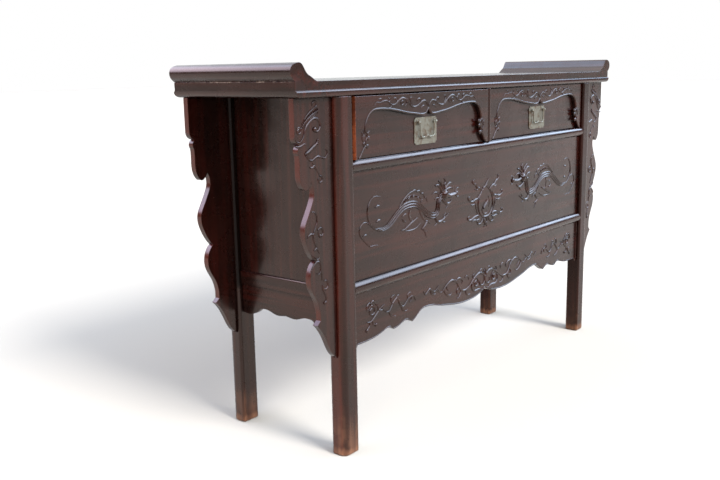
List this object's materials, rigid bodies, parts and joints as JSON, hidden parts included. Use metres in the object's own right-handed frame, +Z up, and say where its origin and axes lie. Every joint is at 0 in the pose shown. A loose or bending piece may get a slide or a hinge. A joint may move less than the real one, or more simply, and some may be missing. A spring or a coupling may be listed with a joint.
{
  "type": "chinese sideboard",
  "caption": "Long altar-style sideboard with everted end flanges, carved drawers over a hidden compartment, shaped aprons and leg spandrels.",
  "frame": {"origin": "on the floor, at the middle of the length and of the depth", "axes": "+Z up, +X to the right as seen from the front, +Y to the back; the drawers face -Y"},
  "size_m": [1.5252, 0.382, 0.888],
  "materials": {
    "lacquered_wood": "glossy dark red-brown lacquer, worn on edges and feet",
    "inner_wood": "bare planed wood",
    "aged_brass": "aged brass with a pale patina"
  },
  "bodies": {
    "case": {"back_panel_lower": "lacquered_wood", "back_panel_upper": "lacquered_wood", "drawer_divider": "lacquered_wood", "drawer_guide_centre": "inner_wood", "drawer_rail_back": "lacquered_wood", "drawer_rail_front": "lacquered_wood", "drawer_runner_centre": "inner_wood", "drawer_runner_left": "inner_wood", "drawer_runner_right": "inner_wood", "drawer_stops": "inner_wood", "floor_battens": "inner_wood", "floor_boards": "inner_wood", "front_apron": "lacquered_wood", "front_panel": "lacquered_wood", "leg_back_left": "lacquered_wood", "leg_back_right": "lacquered_wood", "leg_front_left": "lacquered_wood", "leg_front_right": "lacquered_wood", "lower_rail_back": "lacquered_wood", "lower_rail_front": "lacquered_wood", "side_apron_left": "lacquered_wood", "side_apron_right": "lacquered_wood", "side_panel_left": "lacquered_wood", "side_panel_right": "lacquered_wood", "side_rail_left": "lacquered_wood", "side_rail_right": "lacquered_wood", "spandrel_back_left": "lacquered_wood", "spandrel_back_right": "lacquered_wood", "spandrel_front_left": "lacquered_wood", "spandrel_front_right": "lacquered_wood", "top_back_rail": "lacquered_wood", "top_board_back": "lacquered_wood", "top_board_front": "lacquered_wood", "top_braces": "inner_wood", "top_end_left": "lacquered_wood", "top_end_right": "lacquered_wood", "top_front_rail": "lacquered_wood"},
    "drawer_left": {"drawer_back_left": "inner_wood", "drawer_bottom_left": "inner_wood", "drawer_frieze_left": "lacquered_wood", "drawer_front_left": "lacquered_wood", "drawer_side_inner_left": "inner_wood", "drawer_side_outer_left": "inner_wood", "handle_plate_left": "aged_brass", "handle_posts_left": "aged_brass"},
    "drawer_right": {"drawer_back_right": "inner_wood", "drawer_bottom_right": "inner_wood", "drawer_frieze_right": "lacquered_wood", "drawer_front_right": "lacquered_wood", "drawer_side_inner_right": "inner_wood", "drawer_side_outer_right": "inner_wood", "handle_plate_right": "aged_brass", "handle_posts_right": "aged_brass"},
    "bail_left": {"handle_bail_left": "aged_brass"},
    "bail_right": {"handle_bail_right": "aged_brass"}
  },
  "joints": [
    {"name": "drawer_left_slide", "type": "slide", "parent": "case", "child": "drawer_left", "axis": [0, -1, 0], "range_m": [-0.009, 0.231]},
    {"name": "drawer_right_slide", "type": "slide", "parent": "case", "child": "drawer_right", "axis": [0, -1, 0], "range_m": [0, 0.24]},
    {"name": "bail_left_swing", "type": "hinge", "parent": "drawer_left", "child": "bail_left", "pos_m": [-0.291, -0.1869, 0.745], "axis": [-1, 0, 0], "range_deg": [0, 100]},
    {"name": "bail_right_swing", "type": "hinge", "parent": "drawer_right", "child": "bail_right", "pos_m": [0.291, -0.1779, 0.745], "axis": [-1, 0, 0], "range_deg": [0, 100]}
  ]
}
